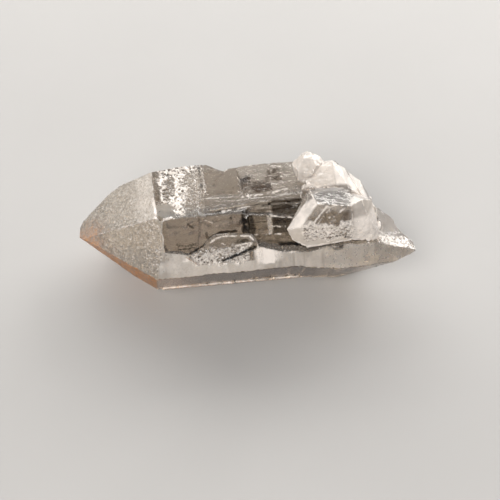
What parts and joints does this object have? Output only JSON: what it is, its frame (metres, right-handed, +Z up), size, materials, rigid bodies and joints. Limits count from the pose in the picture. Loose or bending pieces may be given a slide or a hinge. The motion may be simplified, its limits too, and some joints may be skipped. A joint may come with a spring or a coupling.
{
  "type": "quartz point",
  "caption": "Clear to cloudy natural quartz crystal lying on one prism face, with a six-sided point, stepped faces and a crust of small crystals over its broken root.",
  "frame": {"origin": "middle of the bounding box, at the level of the prism face that the crystal lies on", "axes": "+X runs along the main crystal's c axis from the point at -X to the broken root; +Z up as it lies; +Y to the back, away from the side that shows the stepped front face"},
  "size_m": [0.0678, 0.0266, 0.0253],
  "materials": {
    "quartz": "glassy prism faces with frosted, etched and iron-stained patches; white and cloudy small crystals"
  },
  "bodies": {
    "root": {"quartz_point": "quartz"}
  },
  "joints": []
}
